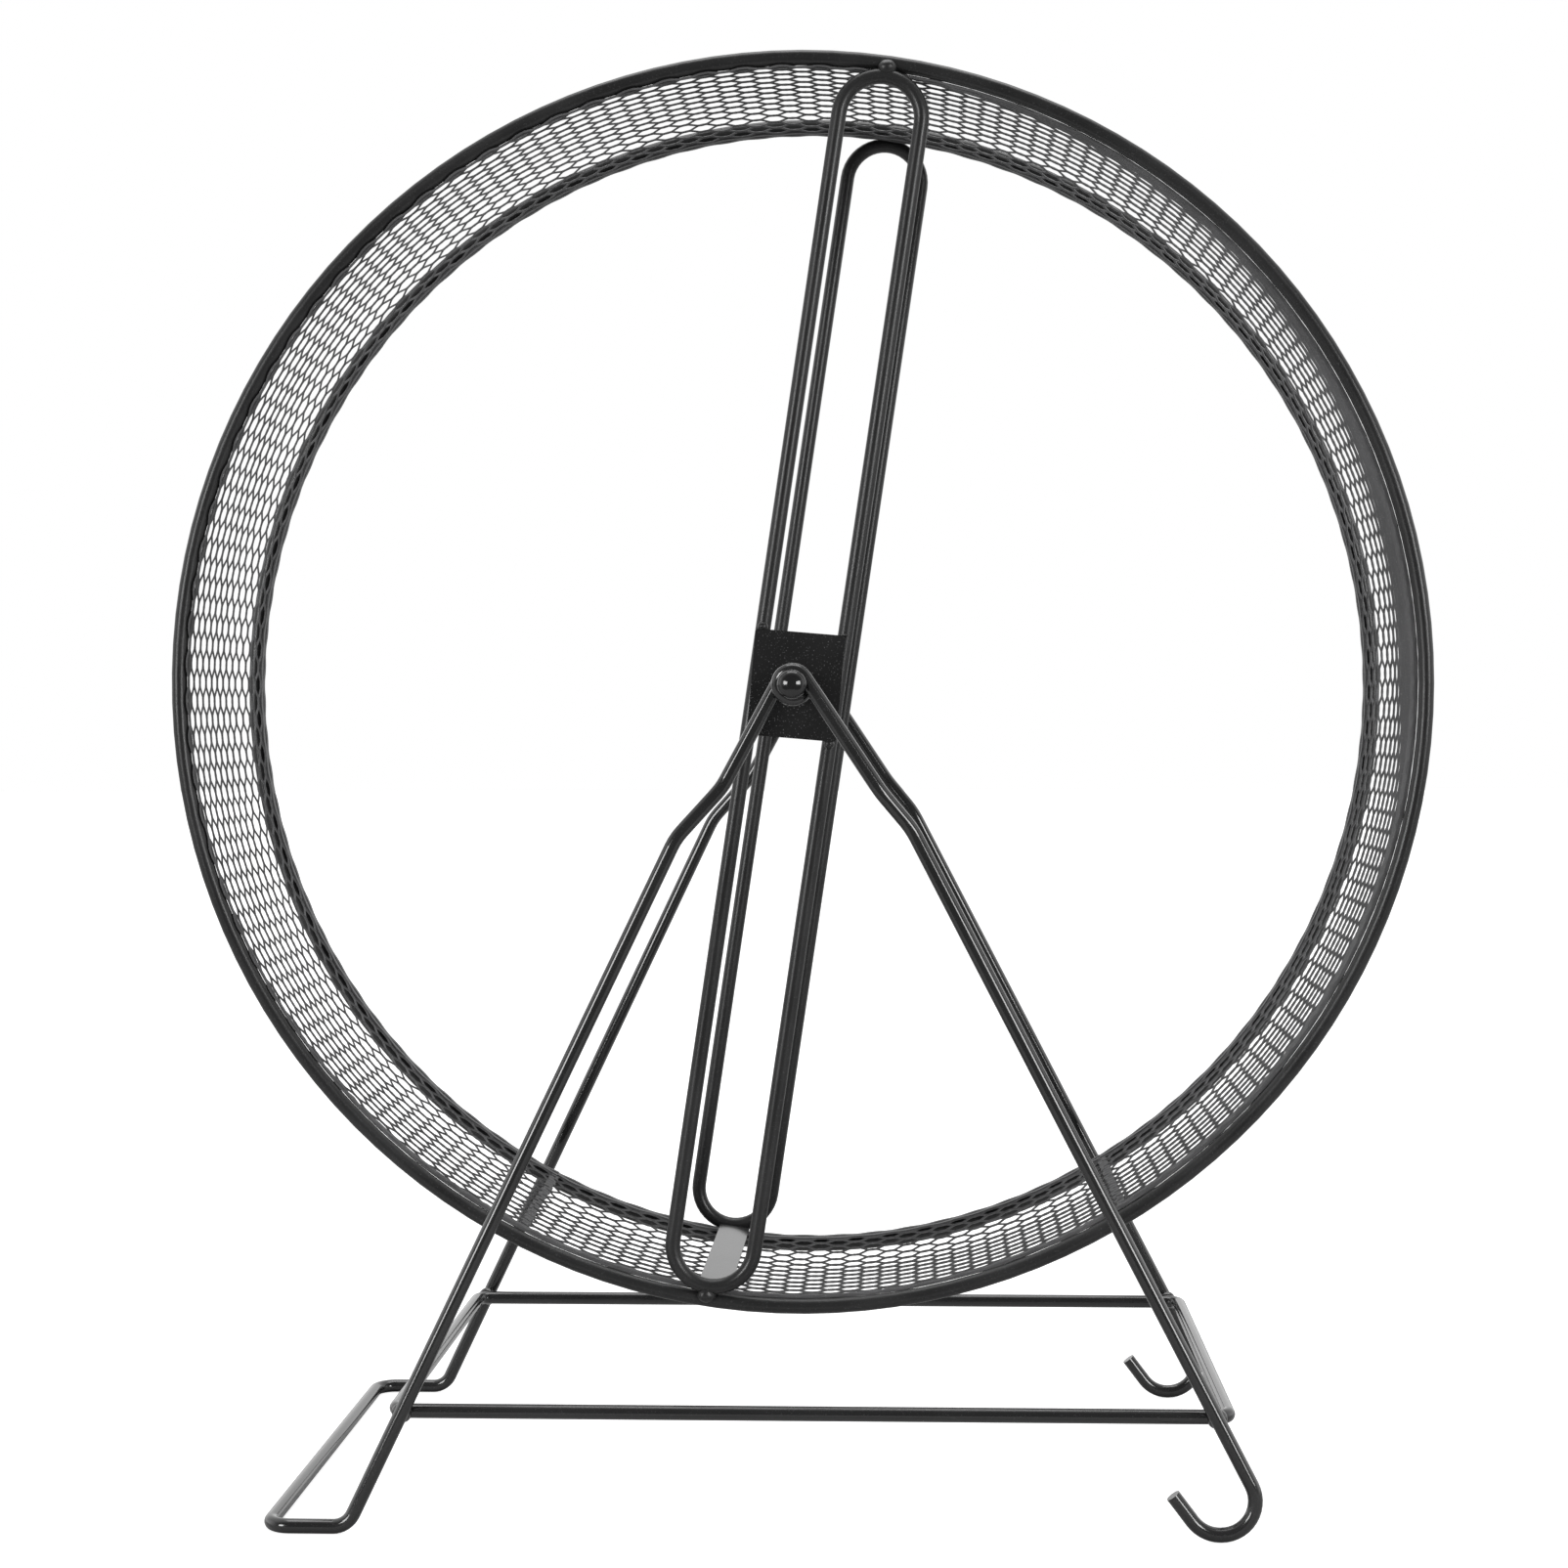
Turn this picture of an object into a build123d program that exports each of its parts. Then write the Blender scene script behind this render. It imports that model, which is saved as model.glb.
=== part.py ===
from build123d import *
from math import acos, atan2, cos, degrees, hypot, pi, radians, sin, sqrt, tan
import os

os.makedirs("parts", exist_ok=True)

# Sizes in millimetres, angles in degrees. X runs to the right, Y away from the viewer, Z up.
# The origin lies on the ground straight below the axle.

# The running wheel
wheel_diameter = 290.0
ground_clearance = 44.0
rim_wire_diameter = 3.5
rim_spacing = 77.0
loop_wire_diameter = 3.5
loop_width = 18.9
loop_lean = 8.6
weld_gap = 0.1

# The running mesh: its sheet, its folded edges and its staggered diamond gaps
mesh_sheet = 0.6
mesh_rim_gap = 0.02
mesh_setback = 0.5
mesh_loop_gap = 0.15
hem_width = 5.0
strand_width = 2.9
mesh_arc_count = 36
patch_arc_count = 6
rows_per_arc = 2
gaps_per_row = 4
patch_end_angle = 31.7

# The strip that stiffens the mesh between the two loops' lower ends
strip_width = 7.6
strip_thickness = 0.7
strip_setback = 2.0
strip_gap = 0.02
strip_position = 8.0

# The hub
plate_width = 20.5
plate_height = 24.3
plate_thickness = 1.0
plate_corner_radius = 0.8
plate_turn = 5.0
pin_diameter = 2.9
pin_head_diameter = 6.6
pin_flange_thickness = 0.6
pin_dome_height = 2.4
dome_span_count = 4
pin_tail_diameter = 5.0
pin_tail_thickness = 0.9
spacer_diameter = 6.2
spacer_length = 12.1
spacer_clearance = 0.1
running_clearance = 0.05
end_clearance = 0.3

# The stand's one long wire: eyes on top, shoulders, legs, foot on the left and hooks on the right
stand_wire_diameter = 3.3
eye_coil_gap = 0.5
left_collar_reach = 16.0
left_collar_drop = 22.9
left_shoulder_reach = 26.3
left_shoulder_drop = 34.2
right_collar_reach = 19.6
right_collar_drop = 24.0
right_shoulder_reach = 26.4
right_shoulder_drop = 32.2
shoulder_spread = 2.3
foot_spread = 7.5
heel_reach = 99.8
foot_length = 18.0
hook_reach = 106.3
shoulder_bend_radius = 14.0
foot_bend_radius = 5.0
hook_bend_radius = 7.5
hook_flat = 0.3
hook_tip_length = 7.1
hook_tip_angle = 37.0
eye_span_count = 16

# The closed wire frame that ties the four legs together
brace_wire_diameter = 3.3
brace_height = 26.6
brace_left_overhang = 2.0
brace_right_overhang = 2.8
brace_corner_radius = 3.3

# Weld beads
brace_bead_radius = 2.9
loop_bead_radius = 2.6
plate_bead_radius = 1.2

# Derived sizes
axle_height = wheel_diameter / 2 + ground_clearance
rim_radius = (wheel_diameter - rim_wire_diameter) / 2
rim_offset = rim_spacing / 2
mesh_radius = rim_radius - rim_wire_diameter / 2 - mesh_rim_gap
mesh_edge = rim_offset - mesh_setback
hem_inner_radius = mesh_radius - 2 * mesh_sheet
loop_offset = mesh_edge + mesh_loop_gap + loop_wire_diameter / 2
loop_half_width = loop_width / 2
loop_rim_distance = (loop_wire_diameter + rim_wire_diameter) / 2 + weld_gap
loop_reach = rim_radius - sqrt(loop_rim_distance ** 2 - (loop_offset - rim_offset) ** 2)
loop_end_centre = loop_reach - loop_half_width
plate_inner = loop_offset + loop_wire_diameter / 2
plate_outer = plate_inner + plate_thickness
eye_radius = pin_diameter / 2 + running_clearance + stand_wire_diameter / 2
left_layer = plate_outer + spacer_length + end_clearance + stand_wire_diameter / 2
ground_level = stand_wire_diameter / 2

axle_point = (0, 0, axle_height)
axle = Axis(axle_point, (0, 1, 0))
profile_plane = Plane(origin=axle_point, x_dir=(1, 0, 0), z_dir=(0, 0, 1))
ends = (("front", -1), ("rear", 1))


# Share of the way from one layer of an eye to the other, flat at both ends of the coil.
def layer_share(turn_share):
    return turn_share ** 2 * (3 - 2 * turn_share)


# Each eye starts where the right leg's line touches its circle, makes one full turn more than
# it needs, and leaves along the left leg's line.
eye_start = atan2(-right_collar_drop, right_collar_reach)
eye_start = eye_start + acos(eye_radius / hypot(right_collar_reach, right_collar_drop))
eye_end = atan2(-left_collar_drop, -left_collar_reach) + 2 * pi
eye_end = eye_end - acos(eye_radius / hypot(left_collar_reach, left_collar_drop))
eye_sweep = eye_end - eye_start + 2 * pi
eye_step = (stand_wire_diameter + eye_coil_gap) / layer_share(2 * pi / eye_sweep)
right_layer = left_layer + eye_step
shoulder_layer = left_layer + shoulder_spread
foot_layer = shoulder_layer + foot_spread


# A point of an eye's coil, at a share of the way from the right leg's side to the left leg's.
def eye_point(end, turn_share):
    angle = eye_start + eye_sweep * turn_share
    depth = right_layer + (left_layer - right_layer) * layer_share(turn_share)
    return Vector(eye_radius * cos(angle), end * depth, axle_height + eye_radius * sin(angle))


# The direction of the coil at the same share.
def eye_direction(end, turn_share):
    angle = eye_start + eye_sweep * turn_share
    step_slope = 6 * turn_share * (1 - turn_share) * (left_layer - right_layer) / eye_sweep
    return Vector(-eye_radius * sin(angle), end * step_slope, eye_radius * cos(angle)).normalized()


# The coil as pairs of arcs that meet smoothly, each given by its start, end and direction.
def eye_arcs(end):
    arcs = []
    for index in range(eye_span_count):
        start = eye_point(end, index / eye_span_count)
        start_direction = eye_direction(end, index / eye_span_count)
        finish = eye_point(end, (index + 1) / eye_span_count)
        finish_direction = eye_direction(end, (index + 1) / eye_span_count)
        way = finish - start
        both = start_direction + finish_direction
        closeness = 2 * (1 - start_direction.dot(finish_direction))
        reach = sqrt(way.dot(both) ** 2 + closeness * way.dot(way)) - way.dot(both)
        reach = reach / closeness
        middle = (start + finish + (start_direction - finish_direction) * reach) / 2
        middle_direction = finish - finish_direction * reach - start - start_direction * reach
        arcs.append((start, middle, start_direction))
        arcs.append((middle, finish, middle_direction.normalized()))
    return arcs


# The right leg's corners from the hook's tip up to the eye.
def right_leg_points(end):
    hook_corner = Vector(hook_reach, end * foot_layer, ground_level)
    shoulder = Vector(right_shoulder_reach, end * shoulder_layer, axle_height - right_shoulder_drop)
    leg_direction = (hook_corner - shoulder).normalized()
    hook_turn = acos(leg_direction.dot(Vector(-1, 0, 0)))
    leg_side = hook_bend_radius * tan(hook_turn / 2)
    tip_side = hook_bend_radius * tan(radians(90 - hook_tip_angle) / 2)
    tip_corner = hook_corner - Vector(leg_side + hook_flat + tip_side, 0, 0)
    tip_direction = Vector(-sin(radians(hook_tip_angle)), 0, cos(radians(hook_tip_angle)))
    tip = tip_corner + tip_direction * (tip_side + hook_tip_length)
    collar = Vector(right_collar_reach, end * right_layer, axle_height - right_collar_drop)
    return [tip, tip_corner, hook_corner, shoulder, collar, eye_point(end, 0)]


# The left leg's corners from the eye down to the foot's corner on the ground.
def left_leg_points(end):
    collar = Vector(-left_collar_reach, end * left_layer, axle_height - left_collar_drop)
    shoulder = Vector(-left_shoulder_reach, end * shoulder_layer, axle_height - left_shoulder_drop)
    heel = Vector(-heel_reach, end * foot_layer, ground_level)
    foot_corner = Vector(-heel_reach - foot_length, end * foot_layer, ground_level)
    return [eye_point(end, 1), collar, shoulder, heel, foot_corner]


# The point of a leg's centre line at the brace's height, between its shoulder and the ground.
def leg_point(leg_points, upper, lower, end):
    top = leg_points(end)[upper]
    bottom = leg_points(end)[lower]
    share = (top.Z - brace_height) / (top.Z - bottom.Z)
    return top + (bottom - top) * share


right_bends = [hook_bend_radius, hook_bend_radius, shoulder_bend_radius, shoulder_bend_radius]
left_bends = [shoulder_bend_radius, shoulder_bend_radius, foot_bend_radius, foot_bend_radius]

with BuildPart() as stand_wire:
    with BuildLine() as stand_path:
        FilletPolyline(*right_leg_points(-1), radius=right_bends)
        for start, finish, direction in eye_arcs(-1):
            TangentArc(start, finish, tangent=direction)
        FilletPolyline(
            *left_leg_points(-1),
            *reversed(left_leg_points(1)),
            radius=left_bends + left_bends[::-1],
        )
        for start, finish, direction in eye_arcs(1):
            TangentArc(start, finish, tangent=direction)
        FilletPolyline(*reversed(right_leg_points(1)), radius=right_bends[::-1])
    stand_line = stand_path.wires()[0]
    with BuildSketch(Plane(origin=stand_line @ 0, z_dir=stand_line % 0)):
        Circle(stand_wire_diameter / 2)
    sweep(path=stand_line)
stand_wire.part.label = "stand_wire"
export_step(stand_wire.part, "parts/stand_wire.step")

left_leg_at_brace = leg_point(left_leg_points, 2, 3, 1)
right_leg_at_brace = leg_point(right_leg_points, 3, 2, 1)
brace_leg_distance = (stand_wire_diameter + brace_wire_diameter) / 2 + weld_gap
brace_depth = left_leg_at_brace.Y - brace_leg_distance
brace_left = left_leg_at_brace.X - brace_left_overhang
brace_right = right_leg_at_brace.X + brace_right_overhang

with BuildPart() as base_brace:
    with BuildLine() as brace_path:
        FilletPolyline(
            (brace_left, -brace_depth, brace_height),
            (brace_right, -brace_depth, brace_height),
            (brace_right, brace_depth, brace_height),
            (brace_left, brace_depth, brace_height),
            radius=brace_corner_radius,
            close=True,
        )
    brace_line = brace_path.wires()[0]
    with BuildSketch(Plane(origin=brace_line @ 0, z_dir=brace_line % 0)):
        Circle(brace_wire_diameter / 2)
    sweep(path=brace_line)
base_brace.part.label = "base_brace"
export_step(base_brace.part, "parts/base_brace.step")

# A bead fills the corner between a leg and the brace where the two wires cross.
for end_name, end in ends:
    for leg_name, leg_x in (("left", left_leg_at_brace.X), ("right", right_leg_at_brace.X)):
        with BuildPart() as brace_weld:
            with Locations((leg_x, end * (brace_depth + brace_leg_distance / 2), brace_height)):
                Sphere(brace_bead_radius)
            add(stand_wire.part, mode=Mode.SUBTRACT)
            add(base_brace.part, mode=Mode.SUBTRACT)
        weld_name = end_name + "_" + leg_name + "_brace_weld"
        brace_weld.part.label = weld_name
        export_step(brace_weld.part, "parts/" + weld_name + ".step")

for end_name, end in ends:
    with BuildPart() as rim:
        with BuildSketch(profile_plane):
            with Locations((rim_radius, end * rim_offset)):
                Circle(rim_wire_diameter / 2)
        revolve(axis=axle)
    rim.part.label = end_name + "_rim"
    export_step(rim.part, "parts/" + end_name + "_rim.step")

    # The spoke loop is one long closed wire that leans over to the right.
    lean = radians(loop_lean)
    loop_plane = Plane(
        origin=(0, end * loop_offset, axle_height),
        x_dir=(cos(lean), 0, -sin(lean)),
        z_dir=(0, -1, 0),
    )
    with BuildPart() as spoke_loop:
        with BuildLine(loop_plane) as loop_path:
            Line((-loop_half_width, -loop_end_centre), (-loop_half_width, loop_end_centre))
            CenterArc((0, loop_end_centre), loop_half_width, 180, -180)
            Line((loop_half_width, loop_end_centre), (loop_half_width, -loop_end_centre))
            CenterArc((0, -loop_end_centre), loop_half_width, 0, -180)
        loop_line = loop_path.wires()[0]
        with BuildSketch(Plane(origin=loop_line @ 0, z_dir=loop_line % 0)):
            Circle(loop_wire_diameter / 2)
        sweep(path=loop_line)
    spoke_loop.part.label = end_name + "_loop"
    export_step(spoke_loop.part, "parts/" + end_name + "_loop.step")

    # A bead joins each end of the loop to the rim, clear of the mesh's edge.
    for place_name, place in (("top", 1), ("bottom", -1)):
        bead_centre = loop_plane.from_local_coords((0, place * (loop_reach + rim_radius) / 2, 0))
        with BuildPart() as loop_weld:
            with Locations(bead_centre):
                Sphere(loop_bead_radius)
            add(rim.part, mode=Mode.SUBTRACT)
            add(spoke_loop.part, mode=Mode.SUBTRACT)
            with Locations(axle_point):
                Box(wheel_diameter, 2 * mesh_edge, wheel_diameter, mode=Mode.SUBTRACT)
        weld_name = end_name + "_" + place_name + "_loop_weld"
        loop_weld.part.label = weld_name
        export_step(loop_weld.part, "parts/" + weld_name + ".step")

    # The plate lies on the outer side of the loop, turned a little less than the loop leans.
    turn = radians(plate_turn)
    plate_plane = Plane(
        origin=(0, end * plate_inner, axle_height),
        x_dir=(cos(turn), 0, -sin(turn)),
        z_dir=(0, end, 0),
    )
    with BuildPart() as hub_plate:
        with BuildSketch(plate_plane):
            RectangleRounded(plate_width, plate_height, plate_corner_radius)
            Circle(pin_diameter / 2, mode=Mode.SUBTRACT)
        extrude(amount=plate_thickness)
    hub_plate.part.label = end_name + "_hub_plate"
    export_step(hub_plate.part, "parts/" + end_name + "_hub_plate.step")

    # Four small beads hold the plate's corners to the loop's two wires.
    with BuildPart() as plate_welds:
        for across in (-1, 1):
            for along in (-1, 1):
                local = (across * loop_half_width, along * plate_height / 2, 0)
                bead_point = loop_plane.from_local_coords(local)
                bead_depth = (loop_wire_diameter + plate_thickness) / 2
                with Locations(bead_point + Vector(0, end * bead_depth, 0)):
                    Sphere(plate_bead_radius)
        add(spoke_loop.part, mode=Mode.SUBTRACT)
        with BuildSketch(plate_plane.offset(-loop_wire_diameter)):
            Rectangle(2 * plate_width, plate_height)
        extrude(amount=2 * loop_wire_diameter, mode=Mode.SUBTRACT)
    plate_welds.part.label = end_name + "_plate_welds"
    export_step(plate_welds.part, "parts/" + end_name + "_plate_welds.step")

    # The axle pin: a riveted tail inside the plate, a plain shank and a domed head outside.
    tail_start = plate_inner - pin_tail_thickness
    head_start = right_layer + stand_wire_diameter / 2 + end_clearance
    flange_end = head_start + pin_flange_thickness
    dome_end = flange_end + pin_dome_height
    dome_points = []
    for index in range(dome_span_count + 1):
        rise = pi / 2 * index / dome_span_count
        dome_depth = flange_end + pin_dome_height * sin(rise)
        dome_points.append((pin_head_diameter / 2 * cos(rise), end * dome_depth))
    with BuildPart() as pin:
        with BuildSketch(profile_plane):
            with BuildLine():
                Polyline(
                    (0, end * dome_end),
                    (0, end * tail_start),
                    (pin_tail_diameter / 2, end * tail_start),
                    (pin_tail_diameter / 2, end * plate_inner),
                    (pin_diameter / 2, end * plate_inner),
                    (pin_diameter / 2, end * head_start),
                    (pin_head_diameter / 2, end * head_start),
                    (pin_head_diameter / 2, end * flange_end),
                )
                Spline(*dome_points, tangents=((0, end), (-1, 0)))
            make_face()
        revolve(axis=axle)
    pin.part.label = end_name + "_pin"
    export_step(pin.part, "parts/" + end_name + "_pin.step")

    # The sleeve that keeps the wheel clear of the eye.
    with BuildPart() as spacer:
        with BuildSketch(profile_plane):
            bore_radius = pin_diameter / 2 + spacer_clearance
            sleeve_wall = spacer_diameter / 2 - bore_radius
            with Locations((bore_radius + sleeve_wall / 2, end * (plate_outer + spacer_length / 2))):
                Rectangle(sleeve_wall, spacer_length)
        revolve(axis=axle)
    spacer.part.label = end_name + "_spacer"
    export_step(spacer.part, "parts/" + end_name + "_spacer.step")

# The running mesh is one rolled sheet with a short patch lapped in at the bottom. Both are made
# of equal arcs that meet edge to edge, and their long edges are folded inwards into hems.
arc_angle = 360 / mesh_arc_count
row_angle = arc_angle / rows_per_arc
open_half_width = mesh_edge - hem_width
cell_half_length = mesh_radius * radians(row_angle)
cell_half_width = open_half_width / (gaps_per_row + 1 / 2)
cell_half_height = cell_half_length * cell_half_width / hypot(cell_half_length, cell_half_width)
gap_share = 1 - strand_width / 2 / cell_half_height


# The direction away from the axle at an angle measured from straight down to the right.
def outward(angle):
    return Vector(sin(radians(angle)), 0, -cos(radians(angle)))


# A plane through the axle's line whose X points outwards and whose Y runs along the axle.
def radial_plane(angle):
    direction = outward(angle)
    return Plane(origin=axle_point, x_dir=direction, z_dir=direction.cross(Vector(0, 1, 0)))


# The part's copy turned to the left round the axle by an angle.
def turned(part, angle):
    return part.rotate(axle, angle)


with BuildPart() as mesh_arc:
    with BuildSketch(radial_plane(patch_end_angle)):
        with Locations((mesh_radius - mesh_sheet / 2, 0)):
            Rectangle(mesh_sheet, 2 * mesh_edge)
        for end_name, end in ends:
            with Locations((mesh_radius - mesh_sheet, end * (mesh_edge - hem_width / 2))):
                Rectangle(2 * mesh_sheet, hem_width)
    revolve(axis=axle, revolution_arc=arc_angle)
    for row in range(-1, rows_per_arc + 1):
        direction = outward(patch_end_angle - (row + 1 / 2) * row_angle)
        row_plane = Plane(
            origin=Vector(*axle_point) + direction * (mesh_radius - 3 * mesh_sheet),
            x_dir=direction.cross(Vector(0, 1, 0)),
            z_dir=direction,
        )
        with BuildSketch(row_plane):
            for gap in range(gaps_per_row):
                gap_centre = (2 * gap + 1 + row % 2) * cell_half_width - open_half_width
                with Locations((0, gap_centre)):
                    Polygon(
                        (-cell_half_length * gap_share, 0),
                        (0, -cell_half_width * gap_share),
                        (cell_half_length * gap_share, 0),
                        (0, cell_half_width * gap_share),
                        align=None,
                    )
        extrude(amount=4 * mesh_sheet, mode=Mode.SUBTRACT)

mesh_patch = Compound([turned(mesh_arc.part, arc_angle * index) for index in range(patch_arc_count)])
mesh_patch.label = "mesh_patch"
export_step(mesh_patch, "parts/mesh_patch.step")

running_mesh = Compound(
    [turned(mesh_arc.part, arc_angle * index) for index in range(patch_arc_count, mesh_arc_count)]
)
running_mesh.label = "running_mesh"
export_step(running_mesh, "parts/running_mesh.step")

# The strip lies on the inner side of both hems, at the loops' lower ends.
strip_angle = degrees(strip_width / hem_inner_radius)
with BuildPart() as seam_strip:
    with BuildSketch(radial_plane(strip_angle / 2 - strip_position)):
        with Locations((hem_inner_radius - strip_gap - strip_thickness / 2, 0)):
            Rectangle(strip_thickness, 2 * (mesh_edge - strip_setback))
    revolve(axis=axle, revolution_arc=strip_angle)
seam_strip.part.label = "seam_strip"
export_step(seam_strip.part, "parts/seam_strip.step")
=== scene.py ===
# %% [markdown]
# # The looks of a wire hamster wheel
#
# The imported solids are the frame: they hold every size, place and joint of the wheel. This lesson
# dresses them. Bent wires, pins, plates and the flat strip already have their right shape, so they
# stay and only get a finish. The running mesh and the weld beads get finer shapes of their own.

import bpy
import numpy as np
from mathutils import Matrix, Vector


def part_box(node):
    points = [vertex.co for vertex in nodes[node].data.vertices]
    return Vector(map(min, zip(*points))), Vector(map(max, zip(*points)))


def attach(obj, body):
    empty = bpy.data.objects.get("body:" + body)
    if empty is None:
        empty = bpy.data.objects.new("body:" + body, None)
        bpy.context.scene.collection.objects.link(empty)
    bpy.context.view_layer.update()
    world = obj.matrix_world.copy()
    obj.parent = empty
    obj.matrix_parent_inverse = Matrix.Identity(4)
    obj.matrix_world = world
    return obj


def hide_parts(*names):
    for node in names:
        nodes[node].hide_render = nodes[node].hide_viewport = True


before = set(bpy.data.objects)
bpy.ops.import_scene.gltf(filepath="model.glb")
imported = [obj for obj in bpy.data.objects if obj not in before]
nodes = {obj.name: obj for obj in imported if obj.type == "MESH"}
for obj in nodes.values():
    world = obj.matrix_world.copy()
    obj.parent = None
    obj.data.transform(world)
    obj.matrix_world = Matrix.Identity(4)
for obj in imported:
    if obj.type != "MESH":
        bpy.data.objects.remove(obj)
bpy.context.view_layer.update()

# %% [markdown]
# ## Sizes to build on
#
# The axle is the natural centre of everything that turns, and the frame says where it is: half-way
# up the front rim. Reading places from the frame keeps the fine shapes on the solids even if a
# size changes. The mesh lies just inside the rims, so the rim's box also gives its radius.

# %% Places and sizes read from the frame, in metres
MM = 0.001
rim_low, rim_high = (np.array(corner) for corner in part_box("front_rim"))
axle_height = (rim_low[2] + rim_high[2]) / 2
wheel_radius = (rim_high[0] - rim_low[0]) / 2
rim_wire = rim_high[1] - rim_low[1]
mesh_radius = wheel_radius - rim_wire
mesh_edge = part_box("running_mesh")[1][1]
print("axle height", round(axle_height, 4), "mesh radius", round(mesh_radius, 4), "edge", mesh_edge)

# %% [markdown]
# ## The powder coat
#
# The whole wheel is dipped in black powder and baked. Such a coat isn't flat black. It has a fine
# pebbled skin, called orange peel, cloudy changes of gloss where the powder lay thicker, and a few
# dust specks baked in. One shader group holds these three, because every material here needs
# them. It reads Object coordinates, so the pattern sticks to the metal as the wheel turns. It puts
# out only a colour, a roughness and a height, and the shader itself stays in each material.

# %% Values of the coat
# The scales are in cells per metre. Each range is where a mask rises from 0 to 1 over its noise.
# dust_height is the share of the dust that is added to the height of the pebbles.
cloud_scale = 55.0
cloud_range = (0.38, 0.66)
dust_scale = 3000.0
dust_range = (0.70, 0.78)
dust_height = 0.6
print("one cloud is about", round(1000 / cloud_scale), "mm wide")


# %% A shader group for a baked coat
def link_all(tree, pairs):
    """Joins each pair of sockets in a node tree."""
    for start, end in pairs:
        tree.links.new(start, end)


def make_coat_group():
    """Colour = coat mixed with its cloud by slow noise, then with dust where fine noise peaks.
    Roughness = plain value plus spread times the cloud. Height = pebbles plus a little dust."""
    group = bpy.data.node_groups.new("baked coat", "ShaderNodeTree")
    face = group.interface
    for name, kind, value in (
        ("Coat", "NodeSocketColor", (0.02, 0.02, 0.02, 1)),
        ("Cloud", "NodeSocketColor", (0.03, 0.03, 0.03, 1)),
        ("Dust", "NodeSocketColor", (0.1, 0.1, 0.1, 1)),
        ("Dust share", "NodeSocketFloat", 0.1),
        ("Gloss", "NodeSocketFloat", 0.3),
        ("Gloss spread", "NodeSocketFloat", 0.1),
        ("Pebbles per metre", "NodeSocketFloat", 900.0),
    ):
        socket = face.new_socket(name, in_out="INPUT", socket_type=kind)
        socket.default_value = value
    for name, kind in (
        ("Colour", "NodeSocketColor"),
        ("Roughness", "NodeSocketFloat"),
        ("Height", "NodeSocketFloat"),
    ):
        face.new_socket(name, in_out="OUTPUT", socket_type=kind)
    new = group.nodes.new
    given, out = new("NodeGroupInput"), new("NodeGroupOutput")
    place = new("ShaderNodeTexCoord")
    pebbles, cloud, dust = (new("ShaderNodeTexNoise") for _ in range(3))
    for noise, detail in ((pebbles, 1.5), (cloud, 4.0), (dust, 0.0)):
        noise.inputs["Detail"].default_value = detail
    cloud.inputs["Scale"].default_value = cloud_scale
    dust.inputs["Scale"].default_value = dust_scale
    cloud_mask, dust_mask = new("ShaderNodeMapRange"), new("ShaderNodeMapRange")
    for mask, (low, high) in ((cloud_mask, cloud_range), (dust_mask, dust_range)):
        mask.inputs["From Min"].default_value = low
        mask.inputs["From Max"].default_value = high
    dust_amount = new("ShaderNodeMath")
    dust_amount.operation = "MULTIPLY"
    clouded, dusted = new("ShaderNodeMix"), new("ShaderNodeMix")
    clouded.data_type = dusted.data_type = "RGBA"
    rough, height = new("ShaderNodeMath"), new("ShaderNodeMath")
    rough.operation = height.operation = "MULTIPLY_ADD"
    height.inputs[1].default_value = dust_height
    link_all(group, (
        (place.outputs["Object"], pebbles.inputs["Vector"]),
        (place.outputs["Object"], cloud.inputs["Vector"]),
        (place.outputs["Object"], dust.inputs["Vector"]),
        (given.outputs["Pebbles per metre"], pebbles.inputs["Scale"]),
        (cloud.outputs["Fac"], cloud_mask.inputs["Value"]),
        (dust.outputs["Fac"], dust_mask.inputs["Value"]),
        (dust_mask.outputs["Result"], dust_amount.inputs[0]),
        (given.outputs["Dust share"], dust_amount.inputs[1]),
        (cloud_mask.outputs["Result"], clouded.inputs["Factor"]),
        (given.outputs["Coat"], clouded.inputs["A"]),
        (given.outputs["Cloud"], clouded.inputs["B"]),
        (dust_amount.outputs[0], dusted.inputs["Factor"]),
        (clouded.outputs["Result"], dusted.inputs["A"]),
        (given.outputs["Dust"], dusted.inputs["B"]),
        (cloud_mask.outputs["Result"], rough.inputs[0]),
        (given.outputs["Gloss spread"], rough.inputs[1]),
        (given.outputs["Gloss"], rough.inputs[2]),
        (dust_amount.outputs[0], height.inputs[0]),
        (pebbles.outputs["Fac"], height.inputs[2]),
        (dusted.outputs["Result"], out.inputs["Colour"]),
        (rough.outputs[0], out.inputs["Roughness"]),
        (height.outputs[0], out.inputs["Height"]),
    ))
    return group


coat_group = make_coat_group()
print("group", coat_group.name, "with", len(coat_group.nodes), "nodes")

# %% A material from the coat
bump_strength = 0.6
coat_ior = 1.5
varnish_roughness = 0.08
blue_tint = 1.02


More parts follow.
